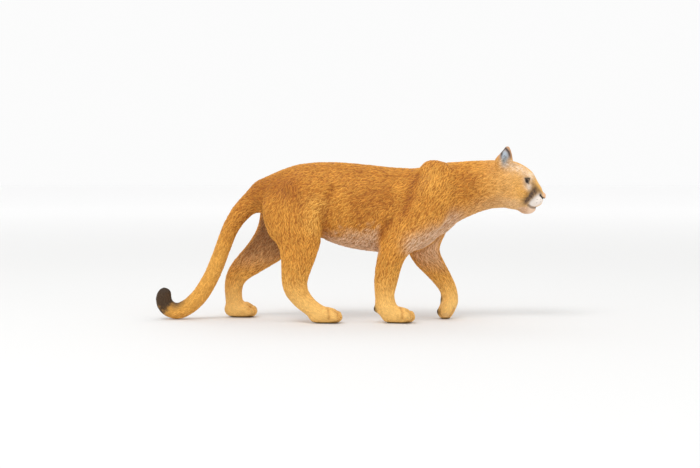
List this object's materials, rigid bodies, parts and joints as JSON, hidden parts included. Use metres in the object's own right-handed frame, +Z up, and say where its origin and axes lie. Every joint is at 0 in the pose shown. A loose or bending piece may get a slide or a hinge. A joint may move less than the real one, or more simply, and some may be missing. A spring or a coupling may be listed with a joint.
{
  "type": "toy cougar figurine",
  "caption": "Hand-painted moulded toy cougar, walking, with a long tail that curls on the floor. It stands on its own feet.",
  "frame": {"origin": "centre of the figure's outer box, on the floor under it", "axes": "+X towards the nose, +Y to the figure's left, +Z up"},
  "size_m": [0.1302, 0.0276, 0.0578],
  "materials": {
    "coat_paint": "hand-painted satin, golden tan with a darker wash in the moulded fur",
    "paw_paint": "hand-painted satin, pale golden tan",
    "muzzle_paint": "hand-painted matt, near white",
    "pad_paint": "hand-painted satin, near black",
    "nose_paint": "hand-painted satin, dull pink with dark edges",
    "eye_gloss": "gloss",
    "tail_tip_paint": "hand-painted matt, dark brown"
  },
  "bodies": {
    "root": {"torso": "coat_paint", "neck": "coat_paint", "head": "coat_paint", "jaw": "muzzle_paint", "nose": "nose_paint", "ear_right": "coat_paint", "eye_right": "eye_gloss", "ear_left": "coat_paint", "eye_left": "eye_gloss", "tail_root": "coat_paint", "tail_middle": "coat_paint", "tail_end": "coat_paint", "tail_tip": "tail_tip_paint", "hind_leg_right": "coat_paint", "hind_paw_right": "paw_paint", "hind_leg_left": "coat_paint", "hind_paw_left": "paw_paint", "foreleg_right": "coat_paint", "forepaw_right": "paw_paint", "foreleg_left": "coat_paint", "forepaw_left": "paw_paint", "wrist_pad_right": "pad_paint", "wrist_pad_left": "pad_paint", "sole_pad_left": "pad_paint"}
  },
  "joints": []
}
